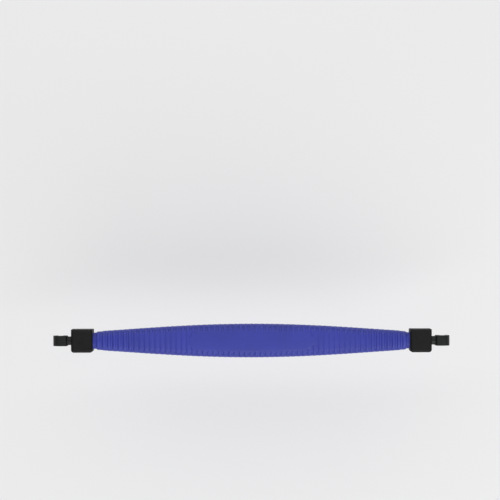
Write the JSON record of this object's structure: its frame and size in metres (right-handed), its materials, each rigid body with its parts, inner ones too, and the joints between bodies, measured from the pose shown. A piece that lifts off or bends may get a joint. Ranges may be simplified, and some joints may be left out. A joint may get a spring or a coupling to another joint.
{
  "type": "vibration dampener",
  "caption": "Long ribbed rubber string dampener with a moulded block and a swivelling string hook at each end.",
  "frame": {"origin": "below the middle of the strip, on the plane of the blocks' flat back faces", "axes": "+X along the strip to the right end, +Y across its width, +Z out of its front face"},
  "size_m": [0.095, 0.0082, 0.0052],
  "materials": {
    "strip": "soft thermoplastic elastomer, moulded, low satin",
    "block": "black moulded nylon, fine spark-eroded texture",
    "hook": "black moulded acetal, satin"
  },
  "bodies": {
    "strip": {"damping_strip": "strip"},
    "left_end": {"end_block_left": "block"},
    "right_end": {"end_block_right": "block"},
    "left_hook": {"string_hook_left": "hook"},
    "right_hook": {"string_hook_right": "hook"}
  },
  "joints": [
    {"name": "flex_left", "type": "hinge", "parent": "strip", "child": "left_end", "pos_m": [-0.019, 0, 0.0026], "axis": [0, 1, 0], "range_deg": [-60, 60], "stiffness_Nm_per_rad": 0.005, "deforming": ["damping_strip"]},
    {"name": "flex_right", "type": "hinge", "parent": "strip", "child": "right_end", "pos_m": [0.019, 0, 0.0026], "axis": [0, -1, 0], "range_deg": [-60, 60], "stiffness_Nm_per_rad": 0.005, "deforming": ["damping_strip"]},
    {"name": "swivel_left", "type": "hinge", "parent": "left_end", "child": "left_hook", "pos_m": [-0.0431, 0, 0.0026], "axis": [-1, 0, 0], "continuous": true},
    {"name": "swivel_right", "type": "hinge", "parent": "right_end", "child": "right_hook", "pos_m": [0.0431, 0, 0.0026], "axis": [1, 0, 0], "continuous": true}
  ]
}
